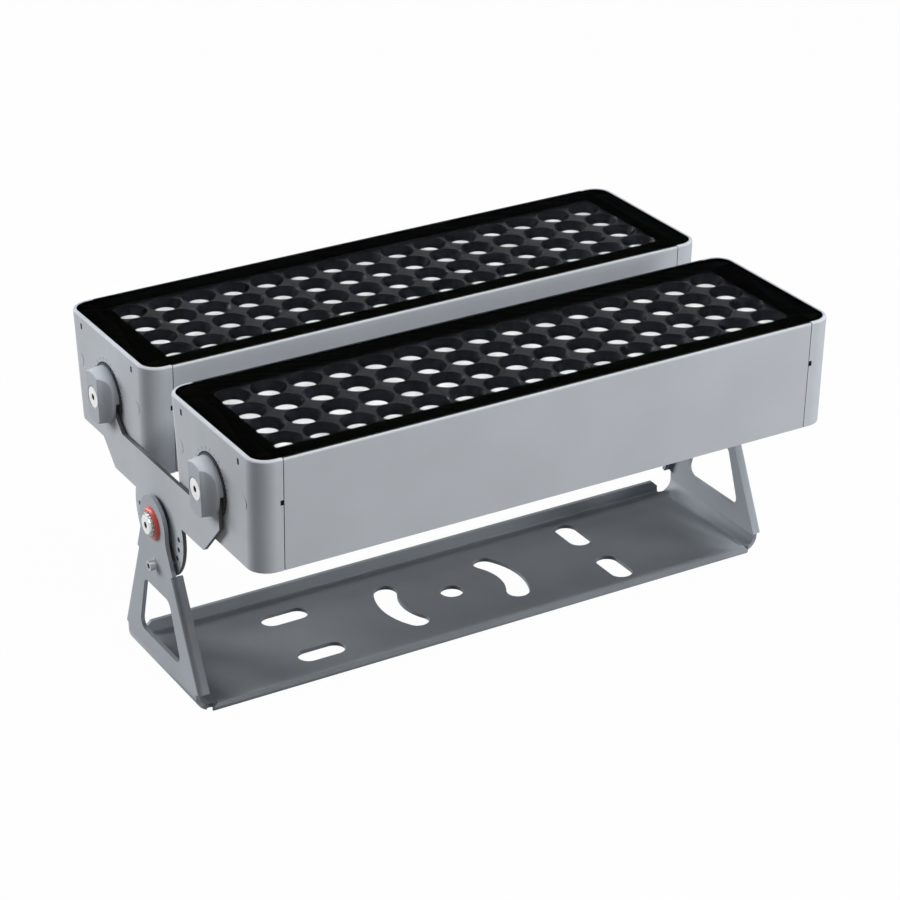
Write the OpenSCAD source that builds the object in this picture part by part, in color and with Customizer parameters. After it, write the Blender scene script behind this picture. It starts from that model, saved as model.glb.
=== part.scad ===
// Outdoor floodlight: two aimable lamps on a folded steel bracket.
// Millimetres. X runs along the lamps, -Y is the front, +Z is up.
// The origin is the middle of the bracket's underside.

/* [Lamps] */
// Length of each lamp, over its end caps
lamp_l = 600; // [560:5:640]
// Width of each lamp at the glass
lamp_w = 184; // [180:1:188]
// Height of each lamp
lamp_h = 110; // [106:1:116]
// Free gap between the two lamps at the glass
lamp_gap = 39; // [36:0.5:46]
// How far each long face leans in from the glass to the underside
lamp_taper = 7; // [4:0.5:8]
// Radius of the lamps' upright corners
corner_r = 20; // [16:1:22]
// Length of each end cap
cap_l = 26; // [24:1:30]
// Width of the pale rim round the glass
rim_w = 3.3; // [2.8:0.1:4]
// Radius of the rim's outer top edge
rim_edge = 2.3; // [1:0.1:2.4]

/* [Glass] */
// Thickness of the pane
glass_t = 4; // [3:0.5:5]
// How far the pane lies below the rim
glass_sink = 0.4; // [0.2:0.1:1]
// Width of the black border along the long sides
border_w = 25.5; // [24.5:0.1:28]
// Width of the black border at the ends
border_end_w = 32.5; // [31:0.5:36]

/* [Optics] */
// Columns of lens cups in each moulded plate
plate_cols = 5; // [4:5]
// Moulded plates side by side in each lamp
plates = 3; // [2:3]
// Rows of lens cups
rows = 4; // [3:4]
// How far the cups reach under the border along the long sides
under_side = 2.1; // [1.5:0.1:2.6]
// How far the cups reach under the border at the ends
under_end = 3.2; // [2.4:0.1:3.6]
// Wall left between the mouths of two cups
cup_web = 0.3; // [0.2:0.1:1.2]
// How far a cup's wall leans in from mouth to floor
cup_flare = 4.7; // [4:0.1:6]
// Depth of a cup
cup_depth = 9.6; // [8.5:0.1:11]

/* [Body] */
// Thickness of the body's long walls
wall = 3.2; // [2.5:0.1:4]
// Depth of the board web's top face below the rim
web_drop = 32; // [31:0.5:34]
// Thickness of the board web
web_t = 6; // [5:0.5:7]
// Inner width of the driver tunnel
tunnel_w = 62; // [58:1:66]
// Inner height of the driver tunnel
tunnel_h = 36; // [32:1:38]
// Spacing of the cooling fins
fin_pitch = 12; // [11.6:0.1:12.4]
// Thickness of a cooling fin
fin_t = 2.2; // [1.6:0.1:3]

/* [Knobs] */
// Height from the lamp's knob axis up to its glass rim
knob_drop = 57; // [54:1:60]
// Radius of a knob at its face
knob_r = 25.7; // [24:0.1:26]
// Radius of a knob at its back
knob_back_r = 27.5; // [27:0.1:28.5]
// How far a knob stands out from the arm's outer face
knob_h = 11.5; // [11:0.5:14]
// Width of the grip rib across a knob
rib_w = 24.1; // [23.5:0.1:26]
// Radius of the finger scoops
scoop_r = 15.4; // [14:0.1:17]
// Outer radius of a toothed ring
ring_r = 30.5; // [30:0.5:33]
// Teeth on a toothed ring
ring_teeth = 48; // [40:2:60]
// Shank diameter of a knob screw
pin_d = 10; // [8:1:10]

/* [Arms] */
// Thickness of the arm plates
arm_t = 3.6; // [3:0.1:5]
// Height from the bracket's pivot up to the knob axes
knob_rise = 84; // [82:1:88]
// Radius of an arm's round ends
arm_end_r = 22; // [20:0.5:22.5]
// Radius of the lobe that holds the index holes
lobe_r = 52; // [48:1:53]
// Height of an arm's top edge above the pivot
arm_top = 58; // [54:1:62]
// Height of an arm's lower edge above the pivot
arm_low = 14; // [12:1:16]
// Radius of the circle of index holes
index_r = 42.5; // [40:0.5:44]
// Diameter of an index hole
index_d = 5.2; // [4:0.1:5.6]
// Angle between index holes
index_step = 15; // [15, 30]

/* [Bracket] */
// Height of the bracket's pivot above its underside
pivot_h = 163.5; // [160:0.5:175]
// Thickness of the folded sheet
sheet_t = 4; // [3:0.5:5]
// Width of the base over its lips
base_w = 164.5; // [160:0.5:166]
// Height of the front lip
front_lip_h = 9.7; // [8:0.1:12]
// Height of the rear lip
rear_lip_h = 16.2; // [14:0.1:18]
// Outer radius of the bends along the lips and flanges
lip_bend_r = 5; // [4.8:0.1:6.5]
// Outer radius of the bends that lead into the ears
ear_bend_r = 16; // [12:0.5:17]
// Radius of an ear's round top
ear_top_r = 27; // [25:0.5:29]
// Width of an ear at the foot of its flanges
ear_foot_w = 167; // [165:0.5:170]
// Width of an ear's web below its flanges
ear_web_w = 151; // [146:1:156]
// Width of the inward flanges on an ear's edges
flange_w = 10.5; // [9:0.1:10.6]

/* [Fixings] */
// Shank diameter of the pivot bolts
bolt_d = 12; // [10:1:12]
// Length of a fixing slot in the base, end to end
slot_l = 49; // [40:1:52]
// Width of a fixing slot in the base
slot_w = 23; // [18:0.5:24]
// Distance of each pair of slots from the middle
slot_x = 164.5; // [155:0.5:180]
// Spacing of the two slots in a pair
slot_pitch = 78.6; // [74:0.1:84]
// Diameter of the hole in the middle of the base
centre_d = 23.3; // [18:0.1:26]
// Centre-line radius of the two arc slots
arc_r = 65.5; // [62:0.5:67]
// Width of the arc slots
arc_w = 22.9; // [18:0.1:24]
// Half of the angle that an arc slot spans between its end centres
arc_half = 30.4; // [24:0.1:32]

/* [Hidden] */
$fn = 64;
// One overrun for every cut
cut = 1;
// Small overlap where a round face would only touch the next face
over = 0.02;
// Gap between faces that move past each other
run_gap = 0.3;
// Radial play of the hinge pins
pin_play = 0.05;
// Radial play of screws in plain holes
hole_play = 0.3;

// Sideways stack from the lamp's end to the ear's outer face
lamp_end = lamp_l / 2;
ring_t = 1.1;
arm_in = lamp_end + ring_t + run_gap;
arm_out = arm_in + arm_t;
spacer_t = 3;
ear_in = arm_out + spacer_t;
ear_out = ear_in + sheet_t;

// Heights
knob_z = pivot_h + knob_rise;
top_z = knob_z + knob_drop;
row_y = (lamp_w + lamp_gap) / 2;

// Lamp body and caps
lean = atan(lamp_taper / lamp_h);
cap_in = lamp_end - cap_l;
seal_t = 0.8;
seal_inset = 0.7;
body_end = cap_in - seal_t;
cap_wall = 10;
cap_floor = 6;
cap_edge = 8;
cap_chamber = 5;
hub_r = 13;
pin_reach = 20;
pin_end = lamp_end - pin_reach;
pin_well = 2;
screw_fin_share = 16 / 3;
screw_y = fin_pitch * screw_fin_share;
screw_drop = 46;
screw_d = 4.2;
screw_hole_r = screw_d / 2 + hole_play;
screw_l = 32;
screw_head_r = 4.5;
screw_head_h = 4;
plug_r = 6.5;
plug_t = 2;
plug_stand = 0.3;
boss_r = 5;
column_r = 8.5;
fin_recess = 4;
tunnel_wall = 3;

// Small slots in the caps
face_slot = [2.6, 4.6, 6];
face_slot_y = 57.5;
face_slot_drop = 10.3;
seam_slot = [3, 5, 4];
seam_slot_drop = 42.5;

// Glass stack, from the pane down to its seat
mask_t = 0.2;
gasket_t = 1.4;
gasket_w = 6;
glass_play = 0.3;
seat_drop = glass_sink + glass_t + mask_t + gasket_t;
glass_l = lamp_l - 2 * (rim_w + glass_play);
glass_w = lamp_w - 2 * (rim_w + glass_play);
glass_r = corner_r - rim_w - glass_play;
window_l = lamp_l - 2 * border_end_w;
window_w = lamp_w - 2 * border_w;
seat_edge = 3.4;
chamber_w = glass_w - 2 * (gasket_w + seat_edge);

// Optics
cols = plate_cols * plates;
col_pitch = (window_l + 2 * under_end) / cols;
row_pitch = (window_w + 2 * under_side) / rows;
board_t = 1.6;
emitter = [5, 5, 0.8];
glass_gap = 2;
cup_top = -glass_sink - glass_t - glass_gap;
cup_r = (row_pitch - cup_web) / 2;
cup_floor_r = cup_r - cup_flare;
plate_rim = 1.5;
plate_w = rows * row_pitch + 2 * plate_rim;
plate_gap = 0.6;
plate_l = plate_cols * col_pitch - plate_gap;
skirt_t = 1.1;
lens_play = 0.55;
lens_r = cup_floor_r - lens_play;
lens_dome = 0.6;
lens_foot_r = 5.2;
lens_sink = 0.9;

// Driver
driver = [220, 52, 28];

// Gland and vent under the caps
gland_r = 8;
gland_hex_r = 12;
gland_hex_h = 5;
gland_dome_r = 10;
gland_tip_r = 8;
gland_dome_h = 9;
gland_bore_r = 4;
vent_r = 5;
vent_head_r = 8;
vent_head_h = 4;

// Knobs and their screws
knob_face = arm_out + knob_h;
knob_chamfer = 0.8;
scoop_out = 5.5;
scoop_y = rib_w / 2 + sqrt(scoop_r * scoop_r - scoop_out * scoop_out);
head_r = 10.3;
head_sink = 0.25;
sink_play = 0.9;
key_r = 3.4;
key_depth = 4;
tooth_h = 1.8;
// Start and end of a tooth's tip and of the gap after it, as shares of the tooth pitch
tooth_shares = [0, 0.4, 0.5, 0.9];

// Arms
arm_bend_y = 74;
arm_rise_angle = 43;
arm_tip_y = 97;
arm_round = 4;

// Bracket
neck_drop = 12;
neck_round = 22;
flange_drop = 39;
foot_level = 23.5;
foot_step = 3;
// Front value first, then the rear one
flange_foot = [22.5, 27];
lip_h = [front_lip_h, rear_lip_h];
lip_short = [15, 19];
lip_slope = [4, 6];
relief_r = [5, 7.5];
relief_short = [15, 14];
relief_in = [6, 0];
window_round = 8.5;
window_drop = 69;
window_top = pivot_h - window_drop;
window_low = 35;
window_top_half = 27;
window_low_half = 46.5;
neck_z = pivot_h - neck_drop;
flange_top = pivot_h - flange_drop;
ear_lean = atan((ear_foot_w / 2 - ear_top_r) / (neck_z - foot_level));

// Pivot fixings
collar_r = 16.5;
collar_top_r = 14;
collar_t = 3.2;
star_r = 12.5;
star_root_r = 10.8;
star_teeth = 18;
star_t = 1;
bolt_head_r = 9.4;
bolt_head_edge = 0.5;
bolt_tip = 1;
bolt_head_h = 2.5;
spacer_r = 20;
nut_flange_r = 13;
nut_flange_t = 2;
nut_r = 10.4;
nut_h = 9;
lock_d = 6;
lock_head_r = 5;
lock_head_h = 6;
lock_washer_r = 6;
lock_washer_t = 0.6;
lock_key_r = 2.9;
lock_key_depth = 3;

ROWS = ["front", "rear"];

// Points of the arc that rounds corner b, between its neighbours a and c
function unit(v) = v / norm(v);
function corner_arc(a, b, c, r, steps = 6) =
    let (u = unit(a - b), w = unit(c - b), half = acos(u * w) / 2,
         mid = b + unit(u + w) * r / sin(half),
         p = b + u * r / tan(half) - mid, q = b + w * r / tan(half) - mid,
         from = atan2(p[1], p[0]), turn = (atan2(q[1], q[0]) - from + 540) % 360 - 180)
    [for (i = [0:steps]) mid + r * [cos(from + turn * i / steps), sin(from + turn * i / steps)]];

// Outline from corners [y, z, radius], where a radius of 0 leaves the corner sharp
function flat(p) = [p[0], p[1]];
function rounded(p) = [for (i = [0:len(p) - 1])
    each p[i][2] == 0 ? [flat(p[i])]
        : corner_arc(flat(p[(i + len(p) - 1) % len(p)]), flat(p[i]), flat(p[(i + 1) % len(p)]), p[i][2])];

// Outline from its right side, listed from the top down, and that side's mirror image
function both_sides(p) = concat([for (q = p) [-q[0], q[1], q[2]]], [for (i = [len(p) - 1:-1:0]) p[i]]);

// Plate across X from x0 to x1 on one side, from an outline in Y and Z
module yz_plate(side, x0, x1)
    translate([side > 0 ? x0 : -x1, 0, 0]) rotate([90, 0, 90]) linear_extrude(x1 - x0) children();

// Round piece along X from x0 to x1 on one side
module x_round(side, x0, x1, r0, r1)
    translate([side * x0, 0, 0]) rotate([0, side * 90, 0]) cylinder(h = x1 - x0, r1 = r0, r2 = r1);

// Rectangle with round corners, centred
module round_rect(l, w, r) {
    square([l - 2 * r, w], center = true);
    square([l, w - 2 * r], center = true);
    for (x = [-1, 1], y = [-1, 1])
        translate([x * (l / 2 - r), y * (w / 2 - r)]) circle(r);
}

module at_lamp(row) translate([0, row * row_y, top_z]) children();
module at_knob(row) translate([0, row * row_y, knob_z]) children();

// Plan of a lamp seen square to one leaning face, which lies at y = 0
module face_plan() {
    translate([-lamp_end, corner_r]) square([lamp_l, 2 * lamp_w]);
    translate([corner_r - lamp_end, 0]) square([lamp_l - 2 * corner_r, 2 * corner_r]);
    for (x = [-1, 1]) translate([x * (lamp_end - corner_r), corner_r]) circle(corner_r + over);
}

// Everything behind the leaning front face, round its upright corners
module leaning_side()
    translate([0, -lamp_w / 2, 0]) rotate([lean, 0, 0])
        translate([0, 0, -lamp_h - corner_r]) linear_extrude(lamp_h + 2 * corner_r) face_plan();

// Whole outer form of a lamp, top at z = 0, with both long faces leaning in
module lamp_form()
    intersection() {
        leaning_side();
        mirror([0, 1, 0]) leaning_side();
        translate([-lamp_end, -lamp_w / 2, -lamp_h]) cube([lamp_l, lamp_w, lamp_h]);
    }

// Envelope that rounds the rim's top edge, a little outside the form below it
module rim_envelope(slack = pin_play, steps = 4)
    hull()
        for (x = [-1, 1], y = [-1, 1], i = [0:steps])
            translate([x * (lamp_end - corner_r), y * (lamp_w / 2 - corner_r), -lamp_h - cut])
                cylinder(h = lamp_h + cut - rim_edge * (1 - sin(90 * i / steps)),
                         r = corner_r + slack - rim_edge * (1 - cos(90 * i / steps)), $fn = 96);

// Long face's half width at a depth below the rim
function half_at(drop) = lamp_w / 2 - lamp_taper * drop / lamp_h;

// Body section in Y and Z, top at z = 0
module body_outline()
    polygon(concat(
        [for (i = [0:4]) [half_at(rim_edge) - rim_edge + rim_edge * sin(90 * i / 4),
                          rim_edge * (cos(90 * i / 4) - 1)]],
        [[half_at(lamp_h), -lamp_h], [-half_at(lamp_h), -lamp_h]],
        [for (i = [4:-1:0]) [rim_edge - half_at(rim_edge) - rim_edge * sin(90 * i / 4),
                             rim_edge * (cos(90 * i / 4) - 1)]]));

module fin_space() {
    low = lamp_h + cut;
    under_web = web_drop + web_t;
    difference() {
        polygon([[half_at(under_web) - wall, -under_web], [half_at(low) - wall, -low],
                 [wall - half_at(low), -low], [wall - half_at(under_web), -under_web]]);
        for (y = [-floor(half_at(lamp_h) / fin_pitch):floor(half_at(lamp_h) / fin_pitch)])
            translate([y * fin_pitch - fin_t / 2, fin_recess - lamp_h])
                square([fin_t, lamp_h - fin_recess - web_drop]);
        translate([-tunnel_w / 2 - tunnel_wall, -under_web - tunnel_h - tunnel_wall])
            square([tunnel_w + 2 * tunnel_wall, tunnel_h + 2 * tunnel_wall]);
        for (y = [-1, 1]) translate([y * screw_y, -screw_drop]) circle(boss_r);
    }
}

module body_section()
    difference() {
        body_outline();
        translate([rim_w - lamp_w / 2, -seat_drop]) square([lamp_w - 2 * rim_w, seat_drop + cut]);
        translate([-chamber_w / 2, -web_drop]) square([chamber_w, web_drop]);
        fin_space();
        translate([-tunnel_w / 2, -web_drop - web_t - tunnel_h]) square([tunnel_w, tunnel_h]);
        for (y = [-1, 1]) translate([y * screw_y, -screw_drop]) circle(screw_d / 2 + pin_play);
    }

module housing(row)
    color("lightslategray") at_lamp(row) yz_plate(1, -body_end, body_end) body_section();

// Section of a cap's inner hollow, left round its screw columns
module cap_hollow() {
    high = web_drop + web_t;
    low = lamp_h - cap_floor;
    difference() {
        polygon([[half_at(high) - cap_edge, -high], [half_at(low) - cap_edge, -low],
                 [cap_edge - half_at(low), -low], [cap_edge - half_at(high), -high]]);
        for (y = [-1, 1]) translate([y * screw_y, -screw_drop]) circle(column_r);
    }
}

module cap(row, side)
    color("darkgray") at_lamp(row) difference() {
        intersection() {
            lamp_form();
            rim_envelope();
            translate([side > 0 ? cap_in : -lamp_end, -lamp_w / 2, -lamp_h]) cube([cap_l, lamp_w, lamp_h]);
        }
        translate([0, 0, -seat_drop]) linear_extrude(seat_drop + cut)
            round_rect(lamp_l - 2 * rim_w, lamp_w - 2 * rim_w, corner_r - rim_w);
        yz_plate(side, cap_in - cut, cap_in + cap_chamber)
            translate([-chamber_w / 2, -web_drop]) square([chamber_w, web_drop]);
        yz_plate(side, cap_in - cut, lamp_end - cap_wall) difference() {
            cap_hollow();
            translate([0, -knob_drop]) circle(hub_r);
        }
        translate([0, 0, -knob_drop])
            x_round(side, pin_end - pin_well, lamp_end + cut, pin_d / 2 + pin_play, pin_d / 2 + pin_play);
        for (y = [-1, 1]) {
            translate([0, y * screw_y, -screw_drop]) {
                x_round(side, cap_in - cut, lamp_end + cut, screw_hole_r, screw_hole_r);
                x_round(side, lamp_end - plug_t - screw_head_h, lamp_end + cut, plug_r, plug_r);
            }
            translate([side * (lamp_end - face_slot[2] / 2 + cut / 2), y * face_slot_y, -face_slot_drop])
                cube([face_slot[2] + cut, face_slot[0], face_slot[1]], center = true);
            translate([side * (cap_in + seam_slot[0] / 2 - cut / 2),
                       y * half_at(seam_slot_drop), -seam_slot_drop])
                cube([seam_slot[0] + cut, 2 * seam_slot[2], seam_slot[1]], center = true);
        }
        translate([side * (cap_in + lamp_end) / 2, 0, -lamp_h - cut])
            cylinder(h = cap_floor + 2 * cut, r = (side > 0 ? gland_r : vent_r) + pin_play);
    }

module cap_gaskets(row)
    color("black") at_lamp(row)
        for (side = [-1, 1])
            yz_plate(side, body_end, cap_in) difference() {
                polygon([[half_at(seat_drop) - seal_inset, -seat_drop],
                         [half_at(lamp_h) - seal_inset, seal_inset - lamp_h],
                         [seal_inset - half_at(lamp_h), seal_inset - lamp_h],
                         [seal_inset - half_at(seat_drop), -seat_drop]]);
                translate([-chamber_w / 2, -web_drop]) square([chamber_w, web_drop]);
                cap_hollow();
                for (y = [-1, 1]) translate([y * screw_y, -screw_drop]) circle(screw_hole_r);
            }

module glass_gasket(row)
    color("dimgray") at_lamp(row) translate([0, 0, -seat_drop]) linear_extrude(gasket_t)
        difference() {
            round_rect(glass_l, glass_w, glass_r);
            round_rect(glass_l - 2 * gasket_w, glass_w - 2 * gasket_w, glass_r - gasket_w);
        }

module border_mask(row)
    color("black") at_lamp(row) translate([0, 0, gasket_t - seat_drop]) linear_extrude(mask_t)
        difference() {
            round_rect(glass_l, glass_w, glass_r);
            square([window_l, window_w], center = true);
        }

module glass(row)
    color("lightcyan", 0.3) at_lamp(row) translate([0, 0, -glass_sink - glass_t]) linear_extrude(glass_t)
        round_rect(glass_l, glass_w, glass_r);

// Middle of a column and of a row of cups
function col_x(i) = (i - (cols - 1) / 2) * col_pitch;
function cup_y(j) = (j - (rows - 1) / 2) * row_pitch;

// Moulded plate of lens cups on a skirt that stands on the board
module lens_plate() {
    skirt_h = web_drop - board_t + cup_top - cup_depth;
    difference() {
        translate([-plate_l / 2, -plate_w / 2, cup_top - cup_depth - skirt_h])
            cube([plate_l, plate_w, cup_depth + skirt_h]);
        translate([skirt_t - plate_l / 2, skirt_t - plate_w / 2, cup_top - cup_depth - skirt_h - cut])
            cube([plate_l - 2 * skirt_t, plate_w - 2 * skirt_t, skirt_h + cut]);
        for (i = [0:plate_cols - 1], j = [0:rows - 1])
            translate([(i - (plate_cols - 1) / 2) * col_pitch, cup_y(j), cup_top - cup_depth])
                cylinder(h = cup_depth, r1 = cup_floor_r, r2 = cup_r);
    }
}

module lens_plates(row)
    color("#101010") at_lamp(row)
        for (i = [0:plates - 1])
            translate([(i - (plates - 1) / 2) * plate_cols * col_pitch, 0, 0]) lens_plate();

// One moulded lens: a foot on the emitter, a flared body and a crowned pale disc
module lens() {
    foot = -web_drop + board_t + emitter[2];
    brim = cup_top - cup_depth + lens_sink;
    translate([0, 0, foot]) cylinder(h = brim - foot, r1 = lens_foot_r, r2 = lens_r, $fn = 40);
    translate([0, 0, brim]) cylinder(h = lens_dome, r1 = lens_r, r2 = lens_r - 2 * lens_dome, $fn = 40);
}

module lenses(row)
    color("white") at_lamp(row)
        for (i = [0:cols - 1], j = [0:rows - 1]) translate([col_x(i), cup_y(j), 0]) lens();

module led_boards(row)
    color("white") at_lamp(row)
        for (k = [0:plates - 1])
            translate([(k - (plates - 1) / 2) * plate_cols * col_pitch, 0, -web_drop]) {
                translate([-plate_l / 2, -plate_w / 2, 0]) cube([plate_l, plate_w, board_t]);
                for (i = [0:plate_cols - 1], j = [0:rows - 1])
                    translate([(i - (plate_cols - 1) / 2) * col_pitch, cup_y(j), board_t + emitter[2] / 2])
                        cube(emitter, center = true);
            }

module driver_box(row)
    color("silver") at_lamp(row)
        translate([-driver[0] / 2, -driver[1] / 2, -web_drop - web_t - tunnel_h]) cube(driver);

// Ring with straight teeth round its rim
module toothed_outline(r, root_r, teeth)
    polygon([for (i = [0:teeth - 1], k = [0:3])
        (k < 2 ? r : root_r) * [cos((i + tooth_shares[k]) * 360 / teeth),
                                sin((i + tooth_shares[k]) * 360 / teeth)]]);

module toothed_rings(row)
    color("gray") at_knob(row)
        for (side = [-1, 1])
            yz_plate(side, lamp_end, lamp_end + ring_t) difference() {
                toothed_outline(ring_r, ring_r - tooth_h, ring_teeth);
                circle(pin_d / 2 + hole_play);
            }

module cap_screws(row)
    color("silver") at_lamp(row)
        for (side = [-1, 1], y = [-1, 1]) {
            face = lamp_end - plug_t;
            translate([0, y * screw_y, -screw_drop]) {
                x_round(side, face - screw_head_h - screw_l, face - screw_head_h, screw_d / 2, screw_d / 2);
                x_round(side, face - screw_head_h, face, screw_head_r, screw_head_r);
            }
        }

module cap_plugs(row)
    color("gray") at_lamp(row)
        for (side = [-1, 1], y = [-1, 1])
            translate([0, y * screw_y, -screw_drop])
                x_round(side, lamp_end - plug_t, lamp_end + plug_stand, plug_r, plug_r);

module cable_gland(row)
    color("dimgray") at_lamp(row) translate([(cap_in + lamp_end) / 2, 0, -lamp_h]) difference() {
        union() {
            cylinder(h = cap_floor, r = gland_r);
            translate([0, 0, -gland_hex_h]) cylinder(h = gland_hex_h, r = gland_hex_r, $fn = 6);
            translate([0, 0, -gland_hex_h - gland_dome_h])
                cylinder(h = gland_dome_h, r1 = gland_tip_r, r2 = gland_dome_r);
        }
        translate([0, 0, -gland_hex_h - gland_dome_h - cut])
            cylinder(h = cap_floor + gland_hex_h + gland_dome_h + 2 * cut, r = gland_bore_r);
    }

module vent_plug(row)
    color("dimgray") at_lamp(row) translate([-(cap_in + lamp_end) / 2, 0, -lamp_h]) {
        cylinder(h = cap_floor, r = vent_r);
        translate([0, 0, -vent_head_h]) cylinder(h = vent_head_h, r = vent_head_r, $fn = 12);
    }

// Clamping knob: grip rib between two finger scoops, with a pocket for the arm's round end
module knob(row, side)
    color("darkslategray") at_knob(row) difference() {
        union() {
            x_round(side, arm_in, knob_face - knob_chamfer, knob_back_r, knob_r);
            x_round(side, knob_face - knob_chamfer, knob_face, knob_r, knob_r - knob_chamfer);
        }
        x_round(side, arm_in - cut, arm_out, arm_end_r + hole_play, arm_end_r + hole_play);
        translate([side * (arm_in + arm_t / 2 - cut / 2), 0, -knob_back_r])
            cube([arm_t + cut, 2 * knob_back_r + cut, 2 * knob_back_r], center = true);
        for (y = [-1, 1])
            translate([side * (knob_face + scoop_out), y * scoop_y, -knob_back_r])
                cylinder(h = 2 * knob_back_r, r = scoop_r);
        x_round(side, arm_out - cut, knob_face + cut, pin_d / 2 + hole_play, pin_d / 2 + hole_play);
        x_round(side, knob_face - (head_r + sink_play - pin_d / 2 - hole_play), knob_face,
                pin_d / 2 + hole_play, head_r + sink_play);
        x_round(side, knob_face, knob_face + cut, head_r + sink_play, head_r + sink_play);
    }

module knob_screws()
    color("white")
        for (row = [-1, 1], side = [-1, 1]) {
            face = knob_face - head_sink;
            at_knob(row) difference() {
                union() {
                    x_round(side, pin_end, face, pin_d / 2, pin_d / 2);
                    x_round(side, face - (head_r - pin_d / 2), face, pin_d / 2, head_r);
                }
                x_round(side, face - key_depth, face + cut, key_r, key_r, $fn = 6);
            }
        }

// Arm plate outline in Y and Z, pivot at the origin
module arm_outline() {
    end_y = row_y + arm_end_r;
    half = [[arm_bend_y, arm_top, arm_round],
            [row_y, arm_top + (row_y - arm_bend_y) * tan(arm_rise_angle), 0],
            [end_y, knob_rise, 0],
            [end_y, arm_low + end_y - arm_tip_y, arm_round],
            [arm_tip_y, arm_low, arm_round]];
    polygon(rounded(both_sides(half)));
    circle(lobe_r);
    for (row = [-1, 1]) translate([row * row_y, knob_rise]) circle(arm_end_r);
}

module arm(side)
    color("slategray") translate([0, 0, pivot_h]) yz_plate(side, arm_in, arm_out) difference() {
        arm_outline();
        circle(bolt_d / 2 + pin_play);
        for (row = [-1, 1]) translate([row * row_y, knob_rise]) circle(pin_d / 2 + hole_play);
        for (a = [-90:index_step:90])
            translate([index_r * sin(a), -index_r * cos(a)]) circle(index_d / 2);
    }

// Lip along one long edge of the base, bent up: edge 0 is the front one, 1 the rear one
module lip(edge) {
    x = ear_out - lip_short[edge];
    slope = lip_slope[edge];
    height = lip_h[edge];
    mirror([0, 1 - edge, 0]) intersection() {
        rotate([90, 0, 90]) translate([0, 0, -x]) linear_extrude(2 * x)
            translate([base_w / 2 - lip_bend_r, lip_bend_r]) {
                intersection() {
                    difference() {
                        circle(lip_bend_r);
                        circle(lip_bend_r - sheet_t);
                    }
                    translate([0, -lip_bend_r]) square(lip_bend_r);
                }
                translate([lip_bend_r - sheet_t, 0]) square([sheet_t, height - lip_bend_r]);
            }
        translate([0, base_w / 2 + cut, 0]) rotate([90, 0, 0]) linear_extrude(lip_bend_r + 2 * cut)
            polygon([[-x, 0], [x, 0], [x, height - slope], [x - slope, height], [slope - x, height],
                     [-x, height - slope]]);
    }
}

module slot() {
    square([slot_l - slot_w, slot_w], center = true);
    for (x = [-1, 1]) translate([x * (slot_l - slot_w) / 2, 0]) circle(slot_w / 2);
}

module arc_slot() {
    reach = arc_r + arc_w;
    intersection() {
        difference() {
            circle(arc_r + arc_w / 2);
            circle(arc_r - arc_w / 2);
        }
        polygon([[0, 0], [reach, -reach * tan(arc_half)], [reach, reach * tan(arc_half)]]);
    }
    for (a = [-1, 1]) rotate(a * arc_half) translate([arc_r, 0]) circle(arc_w / 2 + over);
}

// Bend reliefs at the foot of the right ear, seen from above
module reliefs()
    for (edge = [0, 1])
        translate([ear_out - relief_short[edge], (2 * edge - 1) * (base_w / 2 - relief_in[edge])])
            circle(relief_r[edge]);

module base_plan() {
    difference() {
        union() {
            for (edge = [0, 1]) mirror([0, 1 - edge])
                translate([lip_short[edge] - ear_out, 0])
                    square([2 * (ear_out - lip_short[edge]), base_w / 2 - lip_bend_r]);
            square([2 * (ear_out - ear_bend_r), ear_web_w], center = true);
        }
        for (m = [0, 1]) mirror([m, 0]) reliefs();
        for (y = [-1, 1]) {
            translate([-slot_x, y * slot_pitch / 2]) slot();
            translate([slot_x, y * slot_pitch / 2]) rotate(90) slot();
        }
        circle(centre_d / 2);
        for (m = [0, 1]) mirror([m, 0]) arc_slot();
    }
}

// Half width of an ear at a height on its leaning edge
function ear_half(z) = ear_top_r + (neck_z - z) * tan(ear_lean);

// Corners of an ear's edge from the top down, for the front edge or the rear one
function ear_edge(edge) =
    let (foot = flange_foot[edge])
    [[ear_top_r, pivot_h, 0], [ear_top_r, neck_z, neck_round], [ear_half(foot), foot, 0],
     [ear_web_w / 2, foot - foot_step, 0], [ear_web_w / 2, ear_bend_r, 0]];

module ear_outline() {
    front = [for (q = ear_edge(0)) [-q[0], q[1], q[2]]];
    rear = ear_edge(1);
    polygon(rounded(concat(front, [for (i = [len(rear) - 1:-1:0]) rear[i]])));
    translate([0, pivot_h]) circle(ear_top_r);
}

module ear_window()
    polygon(rounded(both_sides([[window_top_half, window_top, window_round],
                                [window_low_half, window_low, window_round]])));

// Places a piece at the foot of an ear's front or rear flange, with Z along the leaning edge
module at_flange(edge, x, y, z)
    mirror([0, 1 - edge, 0]) translate([x, ear_half(flange_foot[edge]), flange_foot[edge]])
        rotate([ear_lean, 0, 0]) translate([0, y, z]) children();

function flange_l(edge) = (flange_top - flange_foot[edge]) / cos(ear_lean);

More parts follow.
